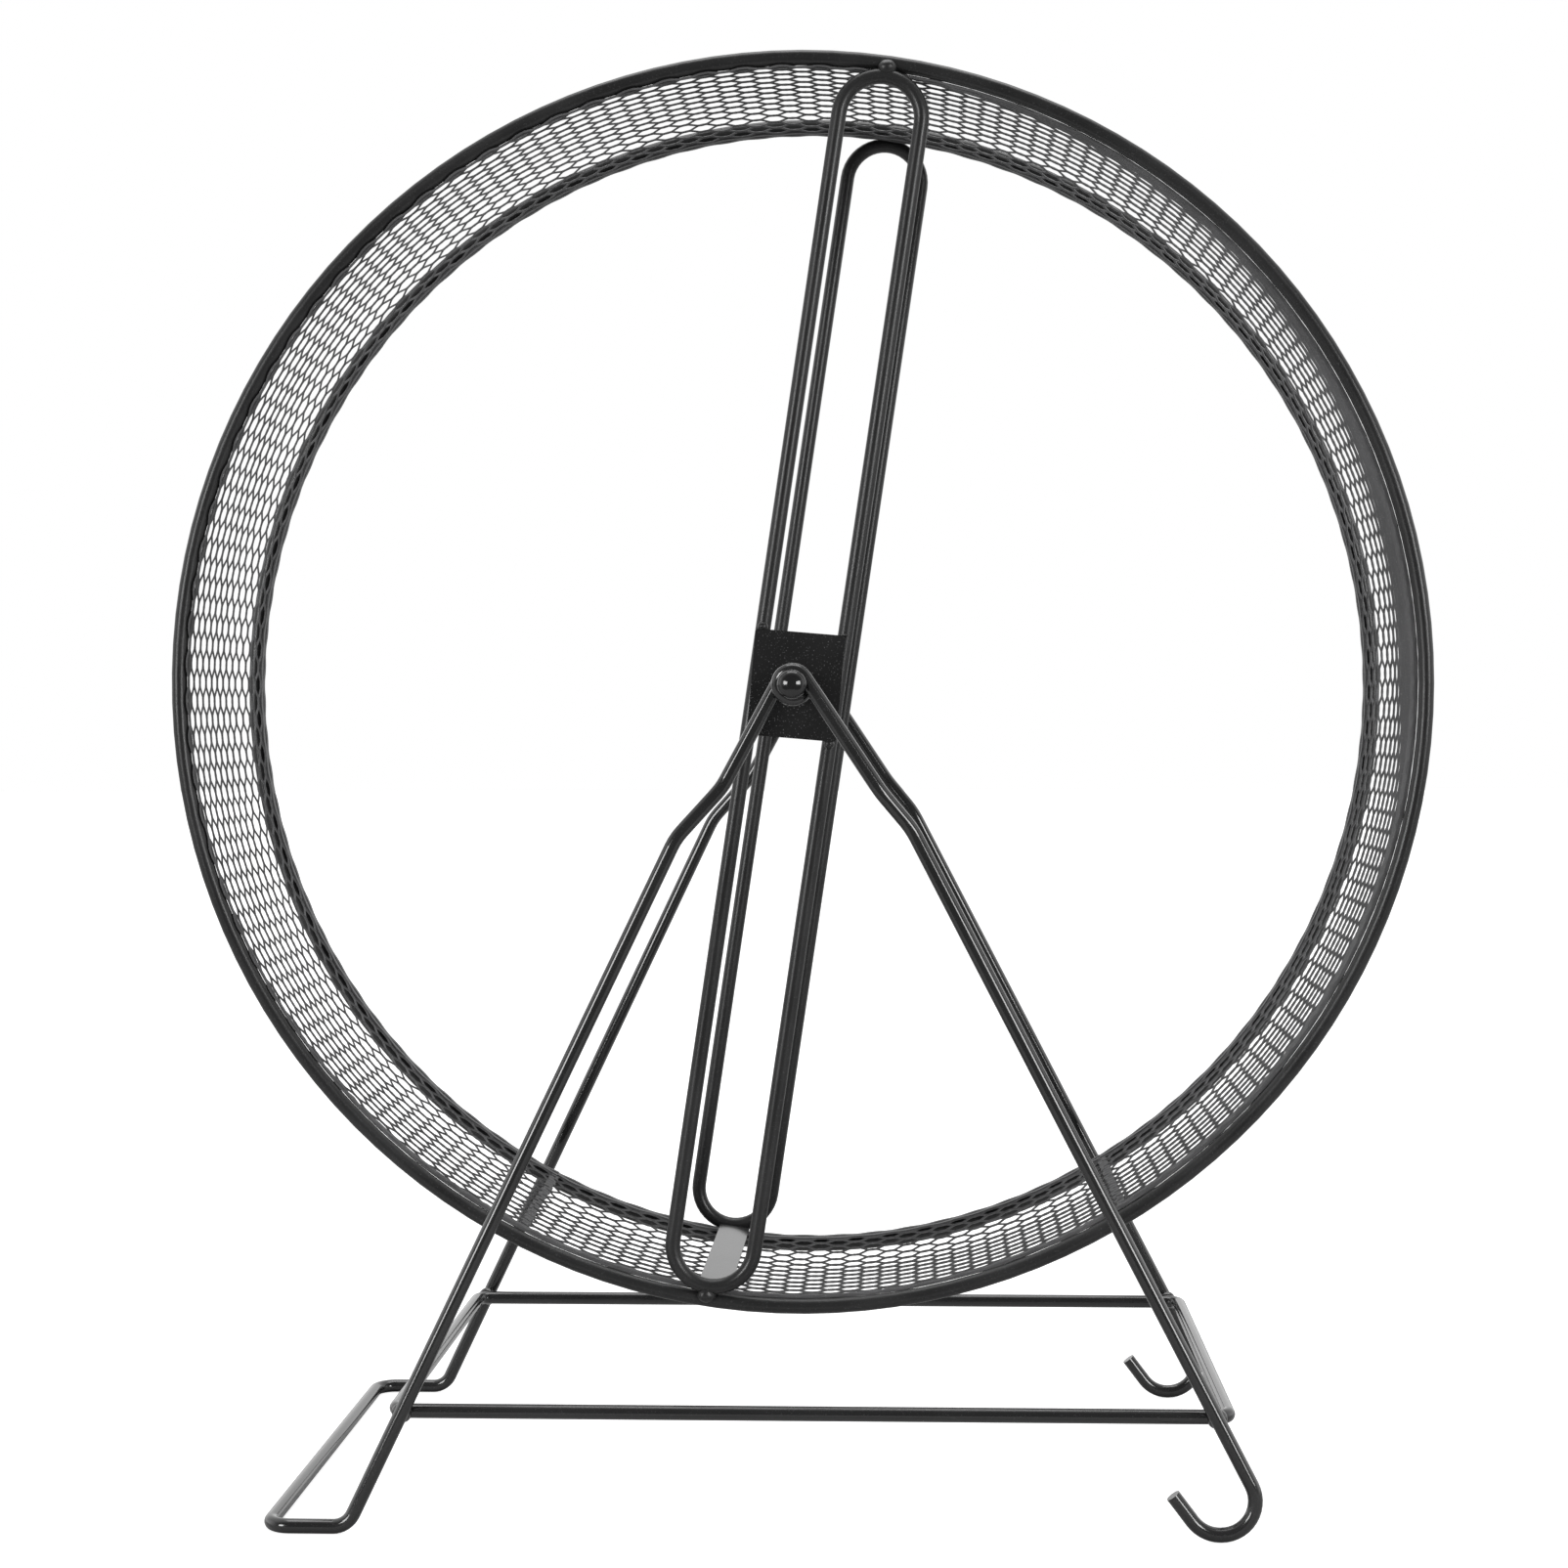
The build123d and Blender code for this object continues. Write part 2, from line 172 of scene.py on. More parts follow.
def make_coat_material(name, settings, bump_height, shine=0.5, varnish=0.0):
    """A Principled shader fed by the coat group, with its height through a Bump node. varnish is
    the weight of a clear layer on top, which mirrors light walls at a glancing view."""
    material = bpy.data.materials.new(name)
    material.use_nodes = True
    tree = material.node_tree
    shader = tree.nodes["Principled BSDF"]
    coat = tree.nodes.new("ShaderNodeGroup")
    coat.node_tree = coat_group
    for key, value in settings.items():
        coat.inputs[key].default_value = value
    bump = tree.nodes.new("ShaderNodeBump")
    bump.inputs["Distance"].default_value = bump_height
    bump.inputs["Strength"].default_value = bump_strength
    shader.inputs["IOR"].default_value = coat_ior
    shader.inputs["Specular IOR Level"].default_value = shine
    shader.inputs["Coat Weight"].default_value = varnish
    shader.inputs["Coat Roughness"].default_value = varnish_roughness
    link_all(tree, (
        (coat.outputs["Colour"], shader.inputs["Base Color"]),
        (coat.outputs["Roughness"], shader.inputs["Roughness"]),
        (coat.outputs["Height"], bump.inputs["Height"]),
        (bump.outputs["Normal"], shader.inputs["Normal"]),
    ))
    return material


def grey(value):
    """A grey with its blue a very little up: value, value, value times blue_tint."""
    return (value, value, value * blue_tint, 1)


print("a mid grey is written", grey(0.5))

# %% Six finishes
wire_coat = make_coat_material("coated wire", {
    "Coat": grey(0.009), "Cloud": grey(0.014), "Dust": grey(0.07), "Dust share": 0.30,
    "Gloss": 0.15, "Gloss spread": 0.06, "Pebbles per metre": 900.0,
}, bump_height=0.000005, varnish=0.6)
# The rings and loops have a duller, rougher coat than the stand's wire. That is their own. Their
# colours are also written a little lighter, which is painted light for the brighter look they have
# in the light.
ring_coat_duller_and_painted_lighter = make_coat_material("coated ring duller and painted lighter", {
    "Coat": grey(0.013), "Cloud": grey(0.019), "Dust": grey(0.09), "Dust share": 0.35,
    "Gloss": 0.30, "Gloss spread": 0.08, "Pebbles per metre": 900.0,
}, bump_height=0.000003)
# The mesh has the same black powder coat as the wires, but its colours are written about ten times
# lighter. This is painted light: it stands in for the grey sheen the strands show where they catch
# light.
mesh_coat_painted_lighter = make_coat_material("coated mesh painted lighter", {
    "Coat": grey(0.090), "Cloud": grey(0.120), "Dust": grey(0.20), "Dust share": 0.45,
    "Gloss": 0.50, "Gloss spread": 0.12, "Pebbles per metre": 1300.0,
}, bump_height=0.00003, shine=0.3)
plate_coat = make_coat_material("coated plate", {
    "Coat": grey(0.007), "Cloud": grey(0.011), "Dust": grey(0.26), "Dust share": 0.55,
    "Gloss": 0.26, "Gloss spread": 0.08, "Pebbles per metre": 1000.0,
}, bump_height=0.00002)
pin_coat = make_coat_material("glossy pin", {
    "Coat": grey(0.004), "Cloud": grey(0.007), "Dust": grey(0.07), "Dust share": 0.2,
    "Gloss": 0.10, "Gloss spread": 0.04, "Pebbles per metre": 700.0,
}, bump_height=0.000004, shine=0.7)
strip_coat = make_coat_material("smooth strip", {
    "Coat": grey(0.020), "Cloud": grey(0.035), "Dust": grey(0.12), "Dust share": 0.2,
    "Gloss": 0.12, "Gloss spread": 0.05, "Pebbles per metre": 400.0,
}, bump_height=0.00001)
finishes = (wire_coat, ring_coat_duller_and_painted_lighter, mesh_coat_painted_lighter, plate_coat, pin_coat, strip_coat)
print("materials", [finish.name for finish in finishes])

# %% [markdown]
# ## The pieces that keep their solids
#
# Bent round wire, turned pins, sleeves, flat plates and the strip are exactly what the solids
# already are. They could be built again here, but nothing would be gained. Each keeps its shape
# and takes the finish that suits it: glossy on the pins and the strip, pebbled on the wires and
# duller on those of the wheel, and speckled with baked dust on the stamped plates.

# %% Finish the carried-over solids
finish_of = {
    wire_coat: ["stand_wire", "base_brace"],
    ring_coat_duller_and_painted_lighter: ["front_rim", "rear_rim", "front_loop", "rear_loop"],
    plate_coat: ["front_hub_plate", "rear_hub_plate", "front_plate_welds", "rear_plate_welds"],
    strip_coat: ["seam_strip"],
    pin_coat: ["front_pin", "rear_pin", "front_spacer", "rear_spacer"],
}
for material, names in finish_of.items():
    for name in names:
        nodes[name].data.materials.clear()
        nodes[name].data.materials.append(material)
print("kept", sum(len(names) for names in finish_of.values()), "solids")

# %% [markdown]
# ## From a grid of points to a closed piece
#
# Every new piece below is a tube: a small cross-section carried along a path. Its points are one
# numpy array of shape (tubes, steps, corners, 3). Working out the corner numbers of all its faces
# at once is quick, and it works for one weld bead as well as for dozens of mesh strands.


# %% Tubes to a mesh
def tube_faces(tubes, steps, corners):
    """Corner numbers of the four-sided faces between neighbouring steps and corners, and of the
    two end caps of each tube. Point number = (tube * steps + step) * corners + corner."""
    tube, step, corner = np.meshgrid(
        np.arange(tubes), np.arange(steps - 1), np.arange(corners), indexing="ij"
    )
    here = (tube * steps + step) * corners
    there = here + corners
    after = (corner + 1) % corners
    sides = np.stack([here + corner, here + after, there + after, there + corner], axis=-1)
    first = np.arange(tubes)[:, None] * steps * corners
    caps_start = first + np.arange(corners)[None, ::-1]
    caps_end = first + (steps - 1) * corners + np.arange(corners)[None, :]
    return sides.reshape(-1, 4), np.concatenate([caps_start, caps_end])


def tubes_piece(name, points, material, smooth=False):
    """A mesh object from an array of shape (tubes, steps, corners, 3)."""
    tubes, steps, corners, _ = points.shape
    sides, caps = tube_faces(tubes, steps, corners)
    mesh = bpy.data.meshes.new(name)
    mesh.from_pydata(points.reshape(-1, 3).tolist(), [], sides.tolist() + caps.tolist())
    mesh.polygons.foreach_set("use_smooth", np.full(len(mesh.polygons), smooth))
    mesh.materials.append(material)
    mesh.validate()
    piece = bpy.data.objects.new(name, mesh)
    bpy.context.collection.objects.link(piece)
    return piece


sides, caps = tube_faces(tubes=1, steps=3, corners=4)
print("a square tube of three steps has", len(sides), "sides and", len(caps), "caps")

# %% [markdown]
# ## The running mesh
#
# The drum's wall is expanded metal: a thin sheet is slit in staggered rows and pulled apart, so
# that it opens into diamonds with no waste. One could cut diamonds out of a sheet, but the real
# thing is a set of zigzag strands that meet at their peaks, and the pull leaves each strand a
# little tilted. So each strand here is a flat ribbon that swings to and fro across the drum, every
# second one the other way round, and it sinks and rises as it swings because of its tilt.
#
# Rolling such a sheet into a drum doesn't leave it even. On the right its front rows are squeezed
# shut, and the rows behind them stand wider for it. So the rows have no fixed places: each gap
# between two rows gets a width that changes round the drum, and the places are running sums.

# %% The wave that a strand follows
peak_flattening = 0.09


def strand_wave(turns):
    """A swing from -1 to 1 with flattened peaks, where neighbouring strands join: the cosine of
    the turns less a part of the cosine of three times the turns, scaled back to 1."""
    angle = 2 * np.pi * turns
    return (np.cos(angle) - peak_flattening * np.cos(3 * angle)) / (1 - peak_flattening)


def drum_points(angle, across, radius):
    """Points on the drum: angle is measured from straight down to the right, across runs along
    the axle and radius away from it. x is radius times its sine, and z the axle's height less
    radius times its cosine."""
    return np.stack([radius * np.sin(angle), across, axle_height - radius * np.cos(angle)], axis=-1)


def slow_noise(rows, count, spread, seed):
    """One line of random values per row, smoothed over a stretch of spread points to about 1."""
    kernel = np.hanning(spread)
    kernel = kernel / np.sqrt((kernel ** 2).sum())
    values = np.random.default_rng(seed).normal(0, 1, (rows, count + spread))
    smooth = np.apply_along_axis(lambda line: np.convolve(line, kernel, "valid"), 1, values)
    return smooth[:, :count]


print("wave at 0, 1/8, 1/4 and 1/2 turn", strand_wave(np.array([0, 0.125, 0.25, 0.5])).round(2))


# %% Ribbons round the drum
def ribbons(degrees, rows, swing, sign, turns, width, thickness, tilt, radius):
    """Flat tilted ribbons round the drum. rows and swing hold, for each ribbon and each angle, its
    place across and how far it waves. The ribbon's four corners lie half its width along its tilt
    and half its thickness square to it, and its middle sinks as it swings."""
    wave = strand_wave(turns)[None, :] * np.asarray(sign)[:, None]
    sink = -width / 2 * np.sin(tilt) * wave * np.clip(swing / (width / 2), 0, 1)
    along, square = np.array([np.cos(tilt), np.sin(tilt)]), np.array([-np.sin(tilt), np.cos(tilt)])
    corner = np.array([[-1, -1], [-1, 1], [1, 1], [1, -1]]) / 2
    offset = corner[:, :1] * width * along + corner[:, 1:] * thickness * square
    corner_across = (rows + swing * wave)[..., None] + offset[:, 0]
    corner_radius = radius + sink[..., None] + offset[:, 1]
    corner_angle = np.broadcast_to(np.radians(degrees)[None, :, None], corner_across.shape)
    return drum_points(corner_angle, corner_across, corner_radius)


# %% Sizes of the expanded sheet
# There are strand_gaps gaps across the drum, and strand_steps steps to one diamond round it. The
# spans are in degrees, from straight down to the right.
strand_width = 1.08 * MM
strand_thickness = 0.44 * MM
strand_tilt = np.radians(16)
strand_gaps = 26
strand_steps = 8
diamond_length = 8.88 * MM
sheet_inset = 0.28 * MM
sheet_radius = mesh_radius - sheet_inset
patch_span = (-27.5, 31.7)
sheet_span = (31.7, 332.5)


def sheet_angles(span):
    """The angles of a sheet's steps in degrees, and the diamonds passed at each of them. A sheet
    has as many diamonds as its arc has lengths of one, to the nearest half."""
    diamonds = round(np.radians(span[1] - span[0]) * sheet_radius / diamond_length * 2) / 2
    count = int(diamonds * strand_steps) + 1
    return np.linspace(span[0], span[1], count), np.linspace(0, diamonds, count)


for span in (sheet_span, patch_span):
    degrees, turns = sheet_angles(span)
    print("span", span, "diamonds", turns[-1], "steps", len(degrees))

# %% Values of the rows
# width_rows and row_widths give how wide the gaps are to each other, at some of their numbers
# from the front. The shares below hold one value at every 15 degrees round the drum, from
# straight down to the right and round: how much of the drum's width is squeezed, how much of its
# extra width a wide gap keeps there, and how far the first row reaches out to the front.
width_rows = np.array([0, 2, 8, 12, 15, 18, 22, 23.5, 24.5])
row_widths = np.array([0.72, 0.90, 0.93, 1.0, 1.12, 1.36, 1.26, 1.10, 0.5])
row_unevenness = 0.05
uneven_diamonds = 6
squeeze_softness = 0.24
squeeze_shrink = 0.28
squeeze_closing = 0.85
front_reach = 1.6 * MM
edge_swing = 0.15 * MM
reach_swing = 0.35 * MM
stop_degrees = np.arange(0, 360, 15)
squeeze_shares = np.array([
    0.00, 0.02, 0.06, 0.06, 0.08, 0.17, 0.50, 0.44, 0.30, 0.22, 0.16, 0.06,
    -0.10, -0.15, -0.15, -0.15, -0.15, -0.15, -0.15, -0.15, -0.10, -0.06, -0.04, 0.00,
])
stretch_shares = np.array([
    1.8, 2.3, 1.5, 1.1, 1.1, 1.2, 1.1, 1.1, 1.1, 1.0, 1.0, 0.9,
    0.8, 0.7, 0.7, 0.7, 0.7, 0.6, 0.5, 0.5, 0.6, 0.9, 1.1, 1.3,
])
front_reach_shares = np.array([
    0.0, 0.0, 0.0, 0.0, 0.0, 0.0, 0.0, 0.0, 0.0, 0.0, 0.0, 0.2,
    0.9, 1.0, 1.0, 1.0, 1.0, 1.0, 1.0, 0.8, 0.5, 0.2, 0.0, 0.0,
])


def share_at(degrees, shares):
    """A share at each angle: straight lines between the stops, closed into a ring."""
    return np.interp(degrees, stop_degrees, shares, period=360)


print("squeezed at the right and at the left", share_at([90, 270], squeeze_shares))


# %% The open mesh of the long sheet and of the short patch
def row_places(degrees, seed):
    """Places across the drum of all rows at each angle, and how far each row is squeezed. Gaps
    widen from the front to the rear hem, and shrink by up to squeeze_shrink where they are
    squeezed; their sums are scaled to the drum's width. On the left the rows lie a little further
    to the front, behind the rim."""
    share = (np.arange(strand_gaps) + 0.5)[:, None] / strand_gaps
    reach = share_at(degrees, squeeze_shares)[None, :]
    squeezed = np.clip((reach - share) / squeeze_softness + 0.5, 0, 1)
    plain = np.interp(np.arange(strand_gaps), width_rows, row_widths)[:, None]
    plain = np.where(plain > 1, 1 + (plain - 1) * share_at(degrees, stretch_shares)[None, :], plain)
    noise = slow_noise(strand_gaps, len(degrees), uneven_diamonds * strand_steps, seed)
    width = (1 - squeeze_shrink * squeezed) * plain * (1 + row_unevenness * noise)
    sums = np.concatenate([np.zeros((1, len(degrees))), np.cumsum(width, axis=0)])
    outer = mesh_edge - strand_width / 2
    front = outer + front_reach * share_at(degrees, front_reach_shares)
    return -front + (outer + front) * sums / sums[-1], np.concatenate([squeezed[:1], squeezed])


def open_mesh(name, span, node, seed):
    """All strands of a sheet. Each swings over half of what its row's pitch leaves beside it, and
    less where it is squeezed. The strands at the two edges swing only a little."""
    degrees, turns = sheet_angles(span)
    rows, squeezed = row_places(degrees, seed)
    pitch = np.gradient(rows, axis=0)
    swing = (pitch - strand_width * np.cos(strand_tilt)) / 2 * (1 - squeeze_closing * squeezed)
    swing[0] = edge_swing + reach_swing * share_at(degrees, front_reach_shares)
    swing[-1] = edge_swing
    sign = np.where(np.arange(len(rows)) % 2, -1.0, 1.0)
    points = ribbons(
        degrees, rows, swing, sign, turns, strand_width, strand_thickness, strand_tilt, sheet_radius
    )
    piece = tubes_piece(name, points, mesh_coat_painted_lighter)
    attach(piece, "wheel")
    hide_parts(node)
    print(name, "strands", points.shape[0], "faces", len(piece.data.polygons))


open_mesh("rolled_mesh", sheet_span, "running_mesh", seed=7)
open_mesh("patch_mesh", patch_span, "mesh_patch", seed=8)

# %% [markdown]
# ## The hems
#
# The sheet's long edges would be sharp, so they are folded inwards. The front fold is pressed flat
# to a nearly solid band with fine ribs, broad on the right and narrow on the left, where the open
# mesh runs up to the rim. On the right a narrow gap stays between the band and the rim. A thin
# scalloped lip stands up along the fold, where the sheet turned over. The rear fold keeps its
# closed diamonds, so it is a second layer of ribbons, half a diamond on.
#
# Folding the strands themselves would take many more faces, and pressed together they look like
# one band anyway. So each hem is a band of its own, and waves give it its ribs and scallops.


# %% A closed band
def closed_band(name, inner, outer, angle, across):
    """A closed band round the drum from its inner and outer radius, its angles and its places
    across, which spread to one grid of steps and columns. Its section runs along the columns on
    the outer side and back on the inner side."""
    inner, outer, angle, across = np.broadcast_arrays(inner, outer, angle, across)
    points = drum_points(
        np.concatenate([angle, angle[:, ::-1]], axis=1),
        np.concatenate([across, across[:, ::-1]], axis=1),
        np.concatenate([outer, inner[:, ::-1]], axis=1),
    )
    piece = tubes_piece(name, points[None], mesh_coat_painted_lighter)
    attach(piece, "wheel")
    return piece


# %% Sizes of the front hem
# As before, the shares hold one value at every 15 degrees: how broad the hem is, and how wide the
# gap beside the rim. The hem is full where its share times hem_growth is 1 or more.
hem_width = 5.0 * MM
hem_narrowest = 0.15 * MM
hem_columns = 29
hem_thickness = 0.85 * MM
hem_growth = 1.6
hem_thinnest = 0.3
hem_lift = 0.12 * MM
hem_jag = 0.22 * MM
hem_roughness = 0.16 * MM
rough_steps = 6
hem_dent = 0.06 * MM
dent_steps = 14
rib_height = 0.09 * MM
rib_pitch = 1.15 * MM
rim_reach = 0.07 * MM
rim_gap = 0.07 * MM
gap_swing = 0.3
front_hem_shares = np.array([
    0.35, 0.45, 0.55, 0.80, 0.95, 1.00, 1.00, 0.95, 0.90, 0.90, 0.90, 0.50,
    0.05, 0.00, 0.00, 0.00, 0.00, 0.00, 0.02, 0.10, 0.25, 0.45, 0.60, 0.55,
])
rim_gap_shares = np.array([
    0.00, 0.00, 0.05, 0.30, 0.70, 1.00, 1.00, 1.00, 0.80, 0.40, 0.10, 0.00,
    0.00, 0.00, 0.00, 0.00, 0.00, 0.00, 0.00, 0.00, 0.00, 0.00, 0.00, 0.00,
])


def hem_body(degrees, least):
    """How full the front hem is at each angle: its share times hem_growth, from least to 1."""
    return np.clip(share_at(degrees, front_hem_shares) * hem_growth, least, 1)


print("the hem is", hem_width * share_at(75, front_hem_shares), "m broad at the right")


# %% The front hem
def front_hem(name, span, seed):
    """A band from the front edge inwards that rises a little from the sheet towards its free edge
    and is ribbed by the strands in it. It is thinner where it is narrow. Its outer side reaches
    the rim but for the right, where a narrow gap stays open. Its free edge swings with the
    diamonds and a little at random."""
    degrees, turns = sheet_angles(span)
    share = share_at(degrees, front_hem_shares)
    column = np.linspace(0, 1, hem_columns)[None, :]
    peaks = np.cos(4 * np.pi * turns)
    jag = hem_jag * peaks + hem_roughness * slow_noise(1, len(degrees), rough_steps, seed)[0]
    width = np.clip(hem_width * share + jag, hem_narrowest, None)
    across = -mesh_edge + column * width[:, None]
    slow = slow_noise(1, len(degrees), dent_steps, seed + 1)[0]
    dent = hem_dent * slow[:, None] * np.sin(np.pi * column)
    lift = hem_lift * share[:, None] * column + rib_height * np.cos(2 * np.pi * across / rib_pitch)
    gap = rim_gap * share_at(degrees, rim_gap_shares) * (1 + gap_swing * peaks)
    outer = mesh_radius + rim_reach - gap[:, None] - lift + dent
    inner = outer - hem_thickness * hem_body(degrees, hem_thinnest)[:, None]
    return closed_band(name, inner, outer, np.radians(degrees)[:, None], across)


hems = [
    front_hem("rolled_hem_front", sheet_span, seed=21),
    front_hem("patch_hem_front", patch_span, seed=31),
]
print("front hems", [len(piece.data.polygons) for piece in hems])

# %% The front fold
fold_half = 0.4 * MM
fold_inset = 1.4 * fold_half
fold_depth = 0.1 * MM
fold_columns = 5
lip_height = 0.80 * MM
lip_lowest = 0.15
lip_scallop = 0.20
lip_roughness = 0.14
lip_steps = 5
lip_rounding = 0.5


def front_fold(name, span, seed):
    """The front fold itself: a narrow scalloped lip that stands up where the hem is broad. Its
    height is full in the middle and falls off with the square of the way to its sides."""
    degrees, turns = sheet_angles(span)
    rough = lip_roughness * slow_noise(1, len(degrees), lip_steps, seed)[0]
    height = lip_height * hem_body(degrees, lip_lowest)
    height = height * (1 + lip_scallop * np.cos(4 * np.pi * turns) + rough)
    column = np.linspace(-1, 1, fold_columns)[None, :]
    inner = sheet_radius - height[:, None] * (1 - lip_rounding * column ** 2)
    across = -mesh_edge + fold_inset + fold_half * column
    return closed_band(name, inner, sheet_radius + fold_depth, np.radians(degrees)[:, None], across)


hems += [
    front_fold("rolled_fold_front", sheet_span, seed=23),
    front_fold("patch_fold_front", patch_span, seed=33),
]
print("front folds", [len(piece.data.polygons) for piece in hems[-2:]])

# %% The rear hem and its fold
rear_hem_width = 4.4 * MM
rear_lift = 0.30 * MM
rear_ribbon = 1.6 * MM
rear_pitch = 2.4 * MM
rear_scallop = 0.14 * MM
rear_rounding = 0.2 * MM


def rear_hem(name, span):
    """Two broad flat ribbons that meet at their peaks and leave a row of lozenges between them,
    and beside them the fold itself, a band whose inner side swings with the strands' wave."""
    degrees, turns = sheet_angles(span)
    places = mesh_edge - rear_hem_width / 2 + np.array([-0.5, 0.5]) * rear_pitch
    rows = np.repeat(places[:, None], len(degrees), axis=1)
    swing = np.full_like(rows, (rear_pitch - rear_ribbon) / 2)
    points = ribbons(
        degrees, rows, swing, [1.0, -1.0], turns, rear_ribbon, strand_thickness, 0.0,
        sheet_radius - rear_lift,
    )
    layer = tubes_piece(name, points, mesh_coat_painted_lighter)
    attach(layer, "wheel")
    column = np.linspace(-1, 1, fold_columns)[None, :]
    scallop = rear_scallop * strand_wave(turns)[:, None]
    inner = sheet_radius - rear_lift - fold_depth + scallop + rear_rounding * column ** 2
    across = mesh_edge - fold_half + fold_half * column
    fold_name = name.replace("hem", "fold")
    fold = closed_band(
        fold_name, inner, mesh_radius + rim_reach, np.radians(degrees)[:, None], across
    )
    return layer, fold


hems += [*rear_hem("rolled_hem_rear", sheet_span), *rear_hem("patch_hem_rear", patch_span)]
print("faces of all", len(hems), "bands", sum(len(piece.data.polygons) for piece in hems))

# %% [markdown]
# ## The laps
#
# The patch fills the last stretch of the drum, and each of its ends is spot-welded under the long
# sheet. There the strands of the two sheets lie side by side, so a lap looks like a narrow ladder
# of fine rungs. Laying strand on strand would make them cut through each other, so a lap is made
# as one rippled band across the drum.

# %% Laps at the patch's two ends
lap_width = 2.2 * MM
lap_inset = 0.4 * MM
lap_rise = 0.20 * MM
lap_depth = 0.25 * MM
lap_notch = 0.20 * MM
lap_shift = 0.1
lap_columns = 7
rung_height = 0.30 * MM
rung_steps = 16
rung_slant = 0.8
rung_fall = 0.4


def lap(name, centre, lean):
    """A closed band across the drum whose inner face ripples like laid-up strands: a cosine with
    one rung to each gap of the mesh, lower at the sides. centre and lean are in degrees: the
    middle's angle, and how far it drifts from the front to the rear."""
    first = -mesh_edge + lap_inset
    across = np.linspace(first, -first, rung_steps * strand_gaps)[:, None]
    column = np.linspace(-1, 1, lap_columns)[None, :]
    rungs = 2 * np.pi * across / mesh_edge * strand_gaps / 2
    ripple = rung_height * np.cos(rungs + rung_slant * column)
    notch = lap_notch * np.cos(rungs / 2)
    inner = sheet_radius - lap_rise - ripple * (1 - rung_fall * column ** 2)
    middle = np.radians(centre + lean * across / mesh_edge)
    angle = middle + column * (lap_width / 2 + notch) / sheet_radius
    return closed_band(name, inner, sheet_radius + lap_depth, angle, across)


laps = [
    lap("lap_left", centre=patch_span[0] + lap_shift, lean=-0.3),
    lap("lap_right", centre=patch_span[1] + lap_shift, lean=-0.05),
]
print("laps", [len(piece.data.polygons) for piece in laps])

# %% [markdown]
# ## The weld beads
#
# Each crossing of two wires is fused by a small resistance weld, which squeezes out a smooth lump.
# A plain ball would look glued on, so each bead is a ball whose radius swells and sinks gently.

# %% Weld beads
bead_share = 0.8
bead_lump = 0.05
second_wave, third_wave = 0.6, 0.4
bead_rings, bead_corners = 17, 24
pole_gap = 0.02


def bead(name, centre, radii, seed, node, body, material):
    """A closed ball. Its radius is multiplied by 1 + bead_lump times the sum of three slow waves
    of its two angles, which fades out towards the poles, where small caps close it."""
    polar = np.linspace(pole_gap, np.pi - pole_gap, bead_rings)[:, None]
    round_angle = np.linspace(0, 2 * np.pi, bead_corners, endpoint=False)[None, :]
    phase = np.random.default_rng(seed).uniform(0, 2 * np.pi, 3)
    swell = 1 + bead_lump * np.sin(polar) * (
        np.cos(2 * round_angle + phase[0])
        + second_wave * np.sin(3 * round_angle + 2 * polar + phase[1])
        + third_wave * np.cos(5 * polar + phase[2])
    )
    points = np.stack([
        centre[0] + radii[0] * swell * np.sin(polar) * np.cos(round_angle),
        centre[1] + radii[1] * swell * np.sin(polar) * np.sin(round_angle),
        centre[2] + radii[2] * swell * np.cos(polar) * np.ones_like(round_angle),
    ], axis=-1)[None]
    piece = tubes_piece(name, points[:, ::-1], material, smooth=True)
    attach(piece, body)
    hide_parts(node)
    return piece


beads = []
for number, (node, body) in enumerate((
    ("front_left_brace_weld", "stand"), ("front_right_brace_weld", "stand"),
    ("rear_left_brace_weld", "stand"), ("rear_right_brace_weld", "stand"),
    ("front_top_loop_weld", "wheel"), ("front_bottom_loop_weld", "wheel"),
    ("rear_top_loop_weld", "wheel"), ("rear_bottom_loop_weld", "wheel"),
)):
    low, high = (np.array(corner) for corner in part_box(node))
    beads.append(bead(
        node.replace("weld", "bead"), (low + high) / 2, (high - low) / 2 * bead_share, number,
        node, body, ring_coat_duller_and_painted_lighter if body == "wheel" else wire_coat,
    ))
print("beads", len(beads))

# %% [markdown]
# ## Floor and light
#
# The wheel stands on a plain pale floor in a white room. Black gloss shows its surroundings more
# than its own colour: bright walls at the sides and behind draw the light lines along the wires,
# and the darker side behind the camera keeps their middles black. Real walls could be modelled,
# but a world colour that changes with the direction does the same. Two soft lamps, left and right
# of the camera, give the pin its pair of highlights, and a third lights the wheel from above.


# %% Floor
def make_floor():
    """A wide flat sheet of plain mid grey, to which white is added for the camera alone. Like a
    table's edge, its front ends short of the camera, so that the pin's dome stays dark below."""
    half, front = 6.0, -0.30
    added_white = 0.85
    mesh = bpy.data.meshes.new("floor")
    corners = [(-half, front, 0), (half, front, 0), (half, half, 0), (-half, half, 0)]
    mesh.from_pydata(corners, [], [(0, 1, 2, 3)])
    floor = bpy.data.objects.new("floor", mesh)
    bpy.context.collection.objects.link(floor)
    material = bpy.data.materials.new("pale floor")
    material.use_nodes = True
    tree = material.node_tree
    shader = tree.nodes["Principled BSDF"]
    shader.inputs["Base Color"].default_value = (0.5, 0.5, 0.5, 1)
    shader.inputs["Roughness"].default_value = 0.9
    path = tree.nodes.new("ShaderNodeLightPath")
    strength = tree.nodes.new("ShaderNodeMath")
    strength.operation = "MULTIPLY"
    strength.inputs[1].default_value = added_white
    shader.inputs["Emission Color"].default_value = (1, 1, 1, 1)
    link_all(tree, (
        (path.outputs["Is Camera Ray"], strength.inputs[0]),
        (strength.outputs[0], shader.inputs["Emission Strength"]),
    ))
    mesh.materials.append(material)
    return floor


floor = make_floor()
print("floor", tuple(floor.dimensions))


